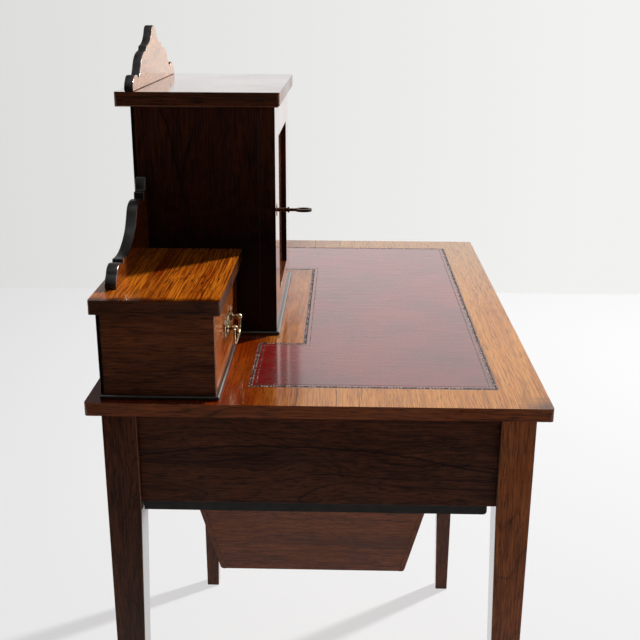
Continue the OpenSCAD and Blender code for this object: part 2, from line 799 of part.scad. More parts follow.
// Right half of the top gallery: shares of its half length and of its height
top_gallery_half = concat(
  [[1, 0], [1, 0.07]], curve([1, 0.07], [0.985, 0.15], [0.955, 0.18], 5),
  curve([0.955, 0.18], [0.93, 0.25], [0.87, 0.25], 5), [[0.79, 0.24], [0.755, 0.17]],
  curve([0.755, 0.17], [0.69, 0.22], [0.62, 0.42], 7), curve([0.62, 0.42], [0.54, 0.59], [0.37, 0.60], 7),
  [[0.35, 0.67]], curve([0.35, 0.67], [0.16, 0.70], [0.09, 0.92], 8),
  curve([0.09, 0.92], [0.06, 1], [0, 1], 5));
module top_gallery() {
  right = [for (p = top_gallery_half) [p[0] * top_gallery_x, p[1] * top_gallery_h]];
  left = [for (i = [len(right) - 2:-1:0]) [-right[i][0], right[i][1]]];
  color(rosewood) translate([0, 0, cab_top_z + cornice_t])
    along_y([top_gallery_y, top_gallery_y + top_gallery_t], concat(right, left));
}

// A side gallery: shares of its length from the cupboard and of its height
side_gallery_outline = concat(
  [[0, 0], [1, 0], [1, 0.06]], curve([1, 0.06], [0.985, 0.13], [0.955, 0.16], 5),
  curve([0.955, 0.16], [0.935, 0.25], [0.87, 0.26], 6), [[0.81, 0.235], [0.785, 0.19], [0.775, 0.26]],
  curve([0.775, 0.26], [0.66, 0.235], [0.57, 0.29], 6), curve([0.57, 0.29], [0.46, 0.36], [0.40, 0.47], 6),
  curve([0.40, 0.47], [0.355, 0.57], [0.33, 0.66], 6), curve([0.33, 0.66], [0.29, 0.77], [0.19, 0.76], 7),
  curve([0.19, 0.76], [0.12, 0.745], [0.09, 0.71], 4), [[0.085, 0.81], [0.045, 0.82]],
  curve([0.045, 0.82], [0.03, 0.92], [0, 1], 5));
module side_gallery(side) {
  outline = [for (p = side_gallery_outline)
    [cab_x + p[0] * side_gallery_w, box_top_z + lid_t + p[1] * side_gallery_h]];
  color(rosewood) on_side(side) along_y([side_gallery_y, side_gallery_y + side_gallery_t], outline);
}

// A bead with a rounded nose, from one plan point to another, mitred to the mask's outline
module bead_run(from, length, turn, mask) {
  nose = bead_h / 2;
  section = concat([[0, 0]], arc([bead_out - nose, nose], nose, -90, 90), [[0, bead_h]]);
  translate([0, 0, desk_h]) intersection() {
    translate([from[0], from[1], 0]) rotate([0, 0, turn]) translate([-bead_out, 0, 0])
      rotate([90, 0, 90]) linear_extrude(length + 2 * bead_out) polygon(section);
    linear_extrude(bead_h) polygon(mask);
  }
}
module base_bead() {
  b = bead_out;
  front = cab_front_y;
  x = cab_x;
  color(ebonised) {
    bead_run([x, front], 2 * x, 180,
      [[-x, front], [x, front], [x + b, front - b], [-x - b, front - b]]);
    for (side = [-1, 1]) on_side(side) {
      bead_run([x, box_front_y], box_front_y - front, -90,
        [[x, front], [x + b, front - b], [x + b, box_front_y - b], [x, box_front_y]]);
      bead_run([box_x, box_front_y], box_x - x, 180,
        [[x, box_front_y], [box_x, box_front_y], [box_x + b, box_front_y - b], [x + b, box_front_y - b]]);
      bead_run([box_x, box_back_y], box_d, -90,
        [[box_x, box_front_y], [box_x + b, box_front_y - b], [box_x + b, box_back_y], [box_x, box_back_y]]);
    }
  }
}

// The door: stiles and rails joined by tenons, with a panel in their grooves
rail_tenon = 22;
module door_stiles() {
  y = [cab_front_y, door_back_y];
  color(rosewood) for (side = [-1, 1]) difference() {
    on_side(side) difference() {
      slab([opening_x, cab_x], y, door_z);
      panel_space(joint_gap);
      for (z = rail_heights) rail_tenons(z, joint_gap);
    }
    if (side > 0) hinge_places() leaf_recess([door_back_y - leaf_t, door_back_y + 1]);
    if (side < 0) keyhole([y[0] - 1, y[1] + 1], shank_r + 1.5 * keyhole_gap);
    if (side < 0) bar_y(key_x, [y[0] - 1, y[0] + escutcheon_in + 0.1], key_z, escutcheon_r + 0.1);
  }
}
rail_heights = [[door_z[0], opening_z[0]], [opening_z[1], door_z[1]]];
tenon_depth = door_t / 3;
rail_shoulder = 9;
module rail_tenons(z, grow = 0) {
  mid = (panel_y + panel_t / 2);
  slab([opening_x - 1, opening_x + rail_tenon + grow],
    [mid - tenon_depth / 2 - grow, mid + tenon_depth / 2 + grow],
    [z[0] + rail_shoulder - grow, z[1] - rail_shoulder + grow]);
}
module door_rails() {
  x = opening_x - glue_line;
  color(rosewood) for (z = rail_heights) difference() {
    union() {
      slab([-x, x], [cab_front_y, door_back_y], z);
      for (side = [-1, 1]) on_side(side) rail_tenons(z);
    }
    panel_space(joint_gap);
  }
}
module panel_space(grow = 0) {
  x = opening_x + panel_tongue;
  slab([-x - grow, x + grow], [panel_y, panel_y + panel_t + panel_gap * sign(grow)],
    [opening_z[0] - panel_tongue - grow, opening_z[1] + panel_tongue + grow]);
}
module door_panel() {
  color(rosewood_light) panel_space();
}

// A keyhole: a round hole for the shank and a slot below it for the bit
module keyhole(y, r) {
  bar_y(key_x, y, key_z, r);
  slab([key_x - bit_t / 2 - keyhole_gap, key_x + bit_t / 2 + keyhole_gap], y,
    [key_z - bit_l - 1.5 * keyhole_gap, key_z]);
}
escutcheon_r = 8.6;
escutcheon_in = 0.8;
module escutcheon() {
  color(brass) difference() {
    bar_y(key_x, [cab_front_y - 0.5, cab_front_y + escutcheon_in], key_z, escutcheon_r);
    keyhole([cab_front_y - 2, cab_front_y + 2], shank_r + keyhole_gap);
  }
}

// Butt hinges: the places of the two, their leaves and their knuckles
module hinge_places() {
  for (z = [door_z[0] + hinge_end, door_z[1] - hinge_end - hinge_h])
    translate([0, 0, z]) children();
}
module leaf_recess(y) {
  slab([cab_x - leaf_w - panel_gap, cab_x + 1], y, [-panel_gap, hinge_h + panel_gap]);
  translate([hinge_x, hinge_y, -panel_gap]) cylinder(r = knuckle_r + joint_gap, h = hinge_h + 2 * panel_gap);
}
module hinge_leaf(y, knuckles) {
  pitch = hinge_h / 3;
  difference() {
    union() {
      slab([cab_x - leaf_w, cab_x], y, [0, hinge_h]);
      for (i = knuckles) translate([0, 0, i * pitch + knuckle_gap / 2]) {
        translate([hinge_x, hinge_y, 0]) cylinder(r = knuckle_r, h = pitch - knuckle_gap);
      }
    }
    for (i = [0:2]) if (len(search(i, knuckles)) == 0)
      translate([hinge_x, hinge_y, i * pitch]) cylinder(r = knuckle_r + joint_gap, h = pitch);
    translate([hinge_x, hinge_y, -1]) cylinder(r = hinge_pin_r + pin_gap, h = hinge_h + 2);
  }
}
module hinge_fixed_leaves() {
  color(brass) hinge_places() {
    hinge_leaf([carcass_front_y, carcass_front_y + leaf_t], [0, 2]);
    translate([hinge_x, hinge_y, 0]) cylinder(r = hinge_pin_r, h = hinge_h);
  }
}
module hinge_door_leaves() {
  color(brass) hinge_places() hinge_leaf([door_back_y - leaf_t, door_back_y], [1]);
}

// Lock: a case screwed behind the stile, a sliding bolt and the key
module lock_case() {
  w = lock_wall;
  y = [door_back_y, door_back_y + lock_d];
  color(brass) difference() {
    slab([lock_x, lock_x + lock_w], y, [key_z - lock_h / 2, key_z + lock_h / 2]);
    slab([lock_x + w, lock_x + lock_w - w], [y[0] + w, y[1] - w],
      [key_z - lock_h / 2 + w, key_z + lock_h / 2 - w]);
    slab([lock_x - 1, lock_x + w + 1], [bolt_y[0] - bolt_gap, bolt_y[1] + bolt_gap],
      [bolt_z[0] - bolt_gap, bolt_z[1] + bolt_gap]);
    keyhole([y[0] - 1, y[0] + w + 1], shank_r + keyhole_gap);
    bar_y(key_x, [y[1] - w - 1, y[1] + 1], key_z, shank_r + shank_gap);
  }
}
module lock_bolt() {
  color(brass) difference() {
    slab([lock_x + bolt_gap, lock_x + lock_w - lock_wall - bolt_throw], bolt_y, bolt_z);
    slab(talon, [bolt_y[0] - 1, bolt_y[1] + 1], [bolt_z[0] - 1, key_z + talon_h]);
  }
}

// Key, turned so that its bow lies level and its bit points to the right. The distances are
// from the door's front.
module key() {
  bow_r = [8.5, 11];
  bow_hole = [4.6, 6.8];
  bow_t = 3.4;
  bow_out = 36.5;
  neck_r = 2.1;
  shank_out = 17;
  collars = [[14.5, 17, 3.8], [11, 12.5, 3.4]];
  front = cab_front_y;
  bit_y = [bolt_y[0] + bolt_gap, bolt_y[1] - bolt_gap];
  oval = [for (i = [0:31]) [cos(i * 11.25), sin(i * 11.25)]];
  color(iron) union() {
    bar_y(key_x, [front - shank_out, door_back_y + lock_d - lock_wall / 2], key_z, shank_r);
    for (c = collars) bar_y(key_x, [front - c[1], front - c[0]], key_z, c[2]);
    bar_y(key_x, [front - bow_out + bow_hole[1] + 1, front - shank_out + 1], key_z, neck_r);
    slab([key_x, key_x + bit_l], bit_y, [key_z - bit_t / 2, key_z + bit_t / 2]);
    translate([key_x, front - bow_out, key_z - bow_t / 2]) linear_extrude(bow_t) difference() {
      polygon([for (p = oval) [p[0] * bow_r[0], p[1] * bow_r[1]]]);
      polygon([for (p = oval) [p[0] * bow_hole[0], p[1] * bow_hole[1]]]);
    }
  }
}

// End board of a drawer box, and the thin liner on the cupboard's side
module box_end(side) {
  color(rosewood) on_side(side) {
    difference() {
      slab([box_in_x, box_x], [box_front_y, box_back_y], [floor_z, box_top_z]);
      slab([box_in_x - 1, box_in_x + rebate / 2], [box_back_y - back_t, box_back_y + 1],
        [floor_z - 1, box_top_z + 1]);
    }
    slab([cab_x, cab_x + liner_t], [box_front_y, box_back_y - back_t - glue_line], [floor_z, box_top_z]);
  }
}
module lid(side) {
  x = [cab_x, box_x + lid_out];
  y = [box_front_y - lid_out, box_back_y + lid_back_out];
  z = [box_top_z, box_top_z + lid_t];
  r = lid_corner_r;
  color(rosewood_light) on_side(side) union() {
    slab([x[0], x[1] - r], y, z);
    slab([x[0], x[1]], [y[0] + r, y[1] - r], z);
    for (cy = [y[0] + r, y[1] - r]) translate([x[1] - r, cy, z[0]]) cylinder(r = r, h = lid_t);
  }
}

desktop();
leather();
leg(-1, true);  // leg_front_left
leg(1, true);  // leg_front_right
leg(-1, false);  // leg_back_left
leg(1, false);  // leg_back_right
side_rail(-1);  // side_rail_left
side_rail(1);  // side_rail_right
back_rail();
front_top_rail();
front_bottom_rail();
runners();
frieze_drawer_front();
frieze_drawer_sides();
frieze_drawer_bottom();
frieze_plates();
frieze_posts();
color(brass) frieze_pull_place(-1) bail();  // frieze_bail_left
color(brass) frieze_pull_place(1) bail();  // frieze_bail_right
slide_frame();
slide_front();
well_front();
well_back_board();
well_sides();
well_bottom();
base_boards();
cupboard_side(-1);  // cupboard_side_left
cupboard_side(1);  // cupboard_side_right
back_boards();
cupboard_shelf();
cornice();
top_gallery();
base_bead();
door_stiles();
door_rails();
door_panel();
hinge_fixed_leaves();
hinge_door_leaves();
escutcheon();
lock_case();
lock_bolt();
key();
box_end(-1);  // box_end_left
box_end(1);  // box_end_right
lid(-1);  // lid_left
lid(1);  // lid_right
side_gallery(-1);  // gallery_left
side_gallery(1);  // gallery_right
small_drawer_front(-1);  // drawer_front_left
small_drawer_sides(-1);  // drawer_sides_left
small_drawer_bottom(-1);  // drawer_bottom_left
color(brass) small_pull_place(-1) pull_plate();  // plate_left
color(brass) small_pull_place(-1) pull_posts(small_front_t);  // posts_left
color(brass) small_pull_place(-1) bail();  // bail_left
small_drawer_front(1);  // drawer_front_right
small_drawer_sides(1);  // drawer_sides_right
small_drawer_bottom(1);  // drawer_bottom_right
color(brass) small_pull_place(1) pull_plate();  // plate_right
color(brass) small_pull_place(1) pull_posts(small_front_t);  // posts_right
color(brass) small_pull_place(1) bail();  // bail_right
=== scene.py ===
"""A lady's rosewood writing desk in a plain pale room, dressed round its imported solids."""
import json
import math

import bmesh
import bpy
from mathutils import Matrix, Vector


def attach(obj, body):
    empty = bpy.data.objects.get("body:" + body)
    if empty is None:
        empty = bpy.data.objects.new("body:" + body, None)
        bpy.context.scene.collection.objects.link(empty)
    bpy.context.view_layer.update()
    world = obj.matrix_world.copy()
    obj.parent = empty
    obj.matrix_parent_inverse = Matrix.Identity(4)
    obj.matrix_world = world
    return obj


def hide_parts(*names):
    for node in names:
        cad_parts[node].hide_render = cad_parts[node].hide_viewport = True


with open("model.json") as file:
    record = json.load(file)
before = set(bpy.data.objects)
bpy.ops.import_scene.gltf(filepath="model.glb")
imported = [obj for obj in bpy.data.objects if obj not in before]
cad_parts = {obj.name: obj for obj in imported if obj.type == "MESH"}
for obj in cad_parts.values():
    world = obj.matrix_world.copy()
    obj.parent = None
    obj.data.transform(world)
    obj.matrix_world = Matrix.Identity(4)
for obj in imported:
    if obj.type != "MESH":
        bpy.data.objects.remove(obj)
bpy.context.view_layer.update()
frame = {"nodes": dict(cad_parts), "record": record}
NODES = frame["nodes"]
BODY_OF = {node: body for body, nodes in frame["record"]["behaviour"]["bodies"].items() for node in nodes}
SLOT_OF = {part["node"]: part["material_slot"] for part in frame["record"]["subparts"]}
MM = 0.001

# Camera

CAMERA_AT = (-1.4424, -0.0275, 1.1953)
CAMERA_YAW = 0.0245
CAMERA_PITCH = -0.3175
CAMERA_ROLL = 0.0039
FOCAL_MM = 55.1
SENSOR_MM = 36


def add_camera():
    forward = Vector((math.cos(CAMERA_PITCH) * math.cos(CAMERA_YAW),
                      math.cos(CAMERA_PITCH) * math.sin(CAMERA_YAW), math.sin(CAMERA_PITCH)))
    right = Vector((math.sin(CAMERA_YAW), -math.cos(CAMERA_YAW), 0))
    up = right.cross(forward)
    rolled_right = right * math.cos(CAMERA_ROLL) + up * math.sin(CAMERA_ROLL)
    rolled_up = up * math.cos(CAMERA_ROLL) - right * math.sin(CAMERA_ROLL)
    data = bpy.data.cameras.new("camera")
    data.lens = FOCAL_MM
    data.sensor_width = SENSOR_MM
    camera = bpy.data.objects.new("camera", data)
    turn = Matrix((rolled_right, rolled_up, -forward)).transposed().to_4x4()
    camera.matrix_world = Matrix.Translation(CAMERA_AT) @ turn
    bpy.context.scene.collection.objects.link(camera)
    bpy.context.scene.camera = camera


# Nodes and colours

def linear(hex_code):
    """An sRGB hex colour as the linear values that a shader takes."""
    values = [int(hex_code[i:i + 2], 16) / 255 for i in (1, 3, 5)]
    return tuple(v / 12.92 if v <= 0.04045 else ((v + 0.055) / 1.055) ** 2.4 for v in values) + (1,)


def grey(value):
    return (value, value, value, 1)


def spaced(mm):
    """The scale of a pattern whose features lie so many mm apart."""
    return 1 / (mm * MM)


def add(tree, kind, inputs=(), stops=(), **settings):
    """A node of that kind with its settings, and the (position, colour) stops of a ramp. Inputs are given in
    order or by name, each as a value, a socket or a node, which stands for its first live output."""
    node = tree.nodes.new("ShaderNode" + kind)
    for name, value in settings.items():
        setattr(node, name, value)
    while stops and len(node.color_ramp.elements) < len(stops):
        node.color_ramp.elements.new(0.5)
    for element, (position, colour) in zip(node.color_ramp.elements if stops else (), stops):
        element.position = position
        element.color = colour
    live = [socket for socket in node.inputs if socket.enabled]
    for key, value in inputs.items() if isinstance(inputs, dict) else enumerate(inputs):
        socket = live[key] if isinstance(key, int) else next(s for s in live if s.name == key)
        if isinstance(value, bpy.types.Node):
            value = next(s for s in value.outputs if s.enabled)
        if isinstance(value, bpy.types.NodeSocket):
            tree.links.new(value, socket)
        else:
            socket.default_value = value
    return node


def new_material(name):
    material = bpy.data.materials.new(name)
    material.use_nodes = True
    tree = material.node_tree
    tree.nodes.clear()
    return material, tree


def where(tree):
    """Object coordinates, whole and as X, Y and Z, in metres."""
    place = add(tree, "TexCoord").outputs["Object"]
    return place, add(tree, "SeparateXYZ", [place]).outputs


def finish_surface(tree, shader_inputs):
    add(tree, "OutputMaterial", [add(tree, "BsdfPrincipled", shader_inputs)])


# Room and lamps

FLOOR_SHADE = "#e6e6e7"
FLOOR_GLOW = "#efeeee"
WALL_SHADE = "#f3f3f2"
ROOM_SIZE = 16
WALL_X = 2.594
BACKDROP_MIDDLE_Z = 5
# The lower right corner of the patch in the upper left of the backdrop that reflections see dark, and the share
# of the backdrop's light that it takes away: a painted dark reflection, as of a black flag
DARK_REFLECTION_EDGE_Y, DARK_REFLECTION_FOOT_Z, DARK_REFLECTION_SHARE = 0.162, 1.62, 0.85
# Painted shade: where it starts and ends to darken the floor and backdrop towards the left, away from the lamps
LEFT_PAINTED_FALLOFF_Y = (-1.0, 1.4)
# Painted reflection: where the floor's glow ends for reflections only, and how bright polish sees the floor
# beyond; the floor itself goes on
REFLECTED_FLOOR_END_X, PAINTED_DARK_BEYOND = (-1.5, -0.9), 0.03
# Painted shade that greys the floor and backdrop on the near lamp's side to even out its pool of light: where it
# gives way, and how much of the paint's colour it leaves
PAINTED_LAMP_SHADE_Y, PAINTED_LAMP_SHADE = (-1.3, 0.6), 0.70


def plain_paint(name, shade, glow_shade, seen, left, far_side=False):
    """Matt studio paint, with painted shade that darkens it a little towards the left. The camera and
    reflections see it lit from within.
    For reflections only, the floor's glow ends a stride in front of the camera, so polish turned that way shows
    a painted dark reflection.
    Reflections see the upper left of the backdrop painted dark, a painted dark reflection as of a black flag
    before it."""
    material, tree = new_material(name)
    path = add(tree, "LightPath").outputs
    place = where(tree)[1]
    # Painted shade: floor and backdrop darker towards the left, where less of the lamps' light falls
    painted_falloff = add(tree, "MapRange", [place["Y"], *LEFT_PAINTED_FALLOFF_Y, 1.0, left])
    # Painted reflection: the backdrop's upper left is dark for reflections only; no flag hangs there
    if far_side:
        beside = add(tree, "Math", [place["Y"], DARK_REFLECTION_EDGE_Y], operation="GREATER_THAN")
        above = add(tree, "Math", [place["X"], DARK_REFLECTION_FOOT_Z - BACKDROP_MIDDLE_Z], operation="GREATER_THAN")
        dark_reflection = add(tree, "Math", [beside, above], operation="MULTIPLY")
        mirrored = add(tree, "Math", [dark_reflection, -DARK_REFLECTION_SHARE, 1.0], operation="MULTIPLY_ADD")
    else:
        # Painted reflection: the floor goes on, but polish sees it dark towards the camera
        mirrored = add(tree, "MapRange", [place["X"], *REFLECTED_FLOOR_END_X, PAINTED_DARK_BEYOND, 1.0])
    strength = add(tree, "Mix", [path["Is Glossy Ray"], painted_falloff, mirrored], data_type="FLOAT")
    # Painted shade: the paint is greyer towards the near lamp, to even out the pool of light it throws
    painted_lamp_shade = add(tree, "MapRange", [place["Y"], *PAINTED_LAMP_SHADE_Y, PAINTED_LAMP_SHADE, 1.0])
    diffuse = add(tree, "BsdfDiffuse", [
        add(tree, "Mix", [painted_lamp_shade, linear("#000000"), linear(shade)], data_type="RGBA")])
    glow = add(tree, "Emission", [linear(glow_shade), strength])
    shown = add(tree, "Math", [path["Is Camera Ray"], seen], operation="MULTIPLY")
    share = add(tree, "Mix", [path["Is Glossy Ray"], shown, 1.0], data_type="FLOAT")
    add(tree, "OutputMaterial", [add(tree, "MixShader", [share, diffuse, glow])])
    return material


def add_room():
    upright = (0, math.radians(-90), 0)
    sheets = []
    # Each paint: name, shade, glow, the share of the glow that the camera sees, how bright the painted shade
    # leaves its left side, and for the backdrop the painted dark reflection
    for name, place, turn, paint_args in (
            ("floor", (0, 0, 0), (0, 0, 0), ("floor paint", FLOOR_SHADE, FLOOR_GLOW, 0.74, 0.93)),
            ("backdrop", (WALL_X, 0, BACKDROP_MIDDLE_Z), upright,
             ("backdrop paint", WALL_SHADE, WALL_SHADE, 0.97, 0.82, True))):
        bpy.ops.object.select_all(action="DESELECT")
        bpy.ops.mesh.primitive_plane_add(size=ROOM_SIZE, location=place, rotation=turn)
        sheet = bpy.context.object
        sheet.name = name
        sheet.data.materials.append(plain_paint(*paint_args))
        sheets.append(sheet)
    floor, wall = sheets
    wall.visible_shadow = False
    wall.visible_diffuse = False


# The way that the room is brightest, its light from the dim to the lit side, and how bright polish sees it
BRIGHT_WAY = (0.86, -0.30, 0.41)
ROOM_DIM, ROOM_LIT = 0.03, 0.22
GLEAM_DIM, GLEAM_LIT = 0.02, 1.0
SEEN_LIGHT = 0.89
# Each lamp: where it stands, its width in metres and its power in watts
LAMPS = {"key light": ((2.3, -2.8, 2.95), 0.3, 340), "fill light": ((-2.6, -1.2, 2.6), 2.2, 4)}
LAMPS_AIM = Vector((0, 0, 0.6))


def add_lights():
    """White paper all round what the camera sees. What lights the desk is dimmer on the camera's side of the
    room."""
    world = bpy.data.worlds.new("studio")
    bpy.context.scene.world = world
    bpy.context.scene.view_settings.view_transform = "Standard"
    world.use_nodes = True
    tree = world.node_tree
    tree.nodes.clear()
    path = add(tree, "LightPath").outputs
    way = add(tree, "TexCoord").outputs["Generated"]
    ahead = add(tree, "VectorMath", [way, BRIGHT_WAY], operation="DOT_PRODUCT")
    soft = add(tree, "MapRange", [ahead, -0.7, 0.8, ROOM_DIM, ROOM_LIT])
    gleam = add(tree, "MapRange", [ahead, -0.5, 0.5, GLEAM_DIM, GLEAM_LIT])
    shiny = add(tree, "Math", [path["Is Glossy Ray"], path["Is Transmission Ray"]], operation="MAXIMUM")
    unseen = add(tree, "Mix", [shiny, soft, gleam], data_type="FLOAT")
    strength = add(tree, "Mix", [path["Is Camera Ray"], unseen, SEEN_LIGHT], data_type="FLOAT")
    add(tree, "OutputWorld", [add(tree, "Background", [grey(1), strength])])
    for name, (place, size, power) in LAMPS.items():
        data = bpy.data.lights.new(name, "AREA")
        data.shape = "DISK"
        data.size = size
        data.energy = power
        lamp = bpy.data.objects.new(name, data)
        lamp.location = place
        lamp.rotation_euler = (LAMPS_AIM - Vector(place)).to_track_quat("-Z", "Y").to_euler()
        bpy.context.scene.collection.objects.link(lamp)


# Wood

# The order of the axes that puts the grain first
GRAIN_FIRST = {"X": (0, 1, 2), "Y": (1, 0, 2), "Z": (2, 0, 1)}
# How far a board's pattern is moved for each step of its seed, so that no two boards are alike
SEED_STEP = (0.37, 0.73, 0.51)


def along_grain(tree, axis, seed):
    """Object coordinates turned so that the first one runs with the grain, in metres."""
    split = where(tree)[1]
    turned = add(tree, "CombineXYZ", [split[i] for i in GRAIN_FIRST[axis]])
    return add(tree, "VectorMath", [turned, [step * seed for step in SEED_STEP]], operation="ADD")


def cloudy(tree, place, along_mm, across_mm, detail, roughness, distortion=0.0):
    """A soft pattern whose patches are about along_mm long with the grain and across_mm wide across it."""
    scale = (spaced(along_mm), spaced(across_mm), spaced(across_mm))
    drawn = add(tree, "VectorMath", [place, scale], operation="MULTIPLY")
    return add(tree, "TexNoise", {"Vector": drawn, "Scale": 1.0, "Detail": detail, "Roughness": roughness,
                                  "Distortion": distortion})


def wavering(tree, reach, *pattern):
    """A cloudy pattern that swings by half of reach to either side of nothing."""
    return add(tree, "Math", [cloudy(tree, *pattern), reach, -0.5 * reach], operation="MULTIPLY_ADD")


WOODS = {
    # Pale figure, mid, dark vein, weight of veins, depth of pores, their length in mm, roughness, polish left
    # Painted shade: a darker copy of rosewood for the cupboard's sides and the door's side edges, faces that lie
    # in shade
    "shaded rosewood": ("#54260f", "#2a1108", "#060201", 0.9, 0.6, 22, 0.36, 0.0),
    "rosewood": ("#66351b", "#3a1b0e", "#100603", 0.9, 0.7, 16, 0.34, 0.0),
    "box rosewood": ("#80431f", "#4a2412", "#140804", 0.9, 0.7, 22, 0.32, 0.0),
    # Painted light: a lighter copy of rosewood for the front left leg and the front rails, standing for the
    # light of the floor and the lamp
    "lit front rosewood": ("#b2622e", "#7a3f1e", "#301509", 0.6, 0.55, 20, 0.34, 0.0),
    # Painted light: a lighter copy of rosewood for the well, whose faces tilt down to the bright floor
    "lit well rosewood": ("#8e4d2a", "#582d1a", "#1e0d06", 0.8, 0.6, 16, 0.36, 0.0),
    "gallery rosewood": ("#8a4216", "#50220a", "#180a04", 0.7, 0.6, 30, 0.16, 0.85),
    "crazed rosewood": ("#cc8a4a", "#8e5426", "#34180a", 0.4, 0.7, 8, 0.24, 0.9),
    "polished leg rosewood": ("#6a3a20", "#42200f", "#160904", 0.6, 0.5, 20, 0.16, 1.0),
    "edge rosewood": ("#6a3516", "#43200c", "#150904", 0.7, 0.8, 26, 0.26, 0.3),
    "desktop edge rosewood": ("#a2501c", "#69310f", "#1c0c05", 0.7, 0.8, 26, 0.3, 0.1),
    "desktop rosewood": ("#d08a3a", "#a8631f", "#4a230c", 0.35, 0.6, 30, 0.13, 0.1),
    "figured rosewood": ("#f88c20", "#9a3c08", "#280d05", 0.3, 0.9, 60, 0.15, 0.8),
    "drawer front rosewood": ("#cc7428", "#7a340e", "#260e06", 0.4, 0.8, 56, 0.2, 0.5),
    "stained deal": ("#86643f", "#65462a", "#34210f", 0.6, 0.35, 20, 0.5, 0.0),
    # Painted highlight and wear: a lighter copy of rosewood for the eased edges, partly wear and partly the
    # light that rounded edges catch
    "worn and highlit edge": ("#8a5630", "#68401f", "#3a1f10", 0.3, 0.4, 20, 0.38, 0.0),
    "drawer lining": ("#c9a878", "#b5915f", "#8a6638", 0.35, 0.3, 20, 0.55, 0.0),
}
# How far the grain wanders over a board, in metres. It wanders less on the boards that were chosen for their
# figure, whose pores are longer than this
STRAIGHT_PORE_MM = 25
SWAY, STRAIGHT_SWAY = 0.035, 0.010
# Bare and perished wood, rougher than this, hardly shines
DULL_ROUGH, DULL_SHINE = 0.3, 0.22


def wood(kind, axis="X", seed=0, node=None):
    """Rosewood, French polished: brown with a few thin near-black wavy veins and short open pores, under a hard
    gloss. On the frame the polish has perished to a dull sheen. The drawer linings are planed and left bare."""
    own = node if node in VEINS or node in TONED else None
    name = f"{kind} {axis} {seed:g}" + (f" of {own}" if own else "")
    if name in bpy.data.materials:
        return bpy.data.materials[name]
    pale, mid, dark = [linear(shade) for shade in WOODS[kind][:3]]
    vein_weight, pore_depth, pore_mm, rough, polish = WOODS[kind][3:]
    material, tree = new_material(name)
    place = along_grain(tree, axis, seed)
    sway = wavering(tree, STRAIGHT_SWAY if pore_mm > STRAIGHT_PORE_MM else SWAY, place, 260, 110, 2, 0.5)
    bent = add(tree, "VectorMath", [place, add(tree, "CombineXYZ", [0.0, sway, sway])], operation="ADD")
    broad = cloudy(tree, bent, 330, 26, 3, 0.55)
    ribbon = cloudy(tree, bent, pore_mm * 3, 2.0, 3, 0.6)
    figure = add(tree, "Mix", [0.6, broad, ribbon], data_type="FLOAT")
    colour = add(tree, "ValToRGB", [figure], [(0.40, mid), (0.60, pale)])
    if kind == "desktop rosewood":
        colour = desktop_tones(tree, colour)
    # Veins are where growth rings come to the surface: level lines of a slow swell
    swell = add(tree, "Math", [cloudy(tree, bent, 620, 75, 1.5, 0.4), 11.0], operation="MULTIPLY")
    line = add(tree, "ValToRGB", [add(tree, "Math", [swell], operation="FRACT")], [
        (0.0, grey(0)), (0.44, grey(0.10)), (0.5, grey(1)), (0.53, grey(0.25)), (0.8, grey(0))])
    strong = add(tree, "ValToRGB", [cloudy(tree, place, 380, 48, 1, 0.5)], [
        (0.42, grey(0.08)), (0.62, grey(1))])
    vein = add(tree, "Math", [line, strong], operation="MULTIPLY")
    vein = add(tree, "Math", [vein, vein_weight], operation="MULTIPLY")
    colour = add(tree, "Mix", [vein, colour, dark], data_type="RGBA")
    if own in VEINS:
        colour = long_vein(tree, colour, axis, own, dark)
    # Open pores, drawn at about 1 mm across so that they show
    pores = cloudy(tree, bent, pore_mm, 0.9, 1.5, 0.5)
    pits = add(tree, "ValToRGB", [pores], [(0.54, grey(0)), (0.64, grey(pore_depth))])
    colour = add(tree, "Mix", [pits, colour, dark], data_type="RGBA")
    if kind == "desktop rosewood":
        colour = shakes(tree, colour)
    if own in TONED:
        colour = toned(tree, colour, own)
    handled = cloudy(tree, place, 90, 90, 3, 0.6)
    shader = {"Base Color": colour,
              "Roughness": add(tree, "MapRange", [handled, 0.3, 0.7, rough * 0.8, rough * 1.3]),
              "Normal": add(tree, "Bump", {"Height": pores, "Distance": -0.06 * MM, "Strength": 0.3}),
              "Coat Weight": polish, "Coat Roughness": 0.09}
    if rough > DULL_ROUGH:
        shader["Specular IOR Level"] = DULL_SHINE
    finish_surface(tree, shader)
    return material


# The course of the one long vein on a board: the axis across it, the vein's width, and then points that say how
# far along the grain and how far across it runs, in mm
VEINS = {
    "side_rail_left": ("Z", 2.2, (
        (-212, 653), (-145, 668), (-97, 678), (-38, 684), (22, 687), (99, 688), (166, 680), (215, 672))),
    "well_sides": ("Z", 1.6, ((-190, 570), (-110, 566), (-40, 556), (30, 553), (100, 549), (160, 561))),
    "cupboard_side_left": ("Y", 2.2, (
        (753, 164), (877, 172.5), (925, 183), (965, 190), (1005, 199), (1037, 203), (1061, 216))),
}


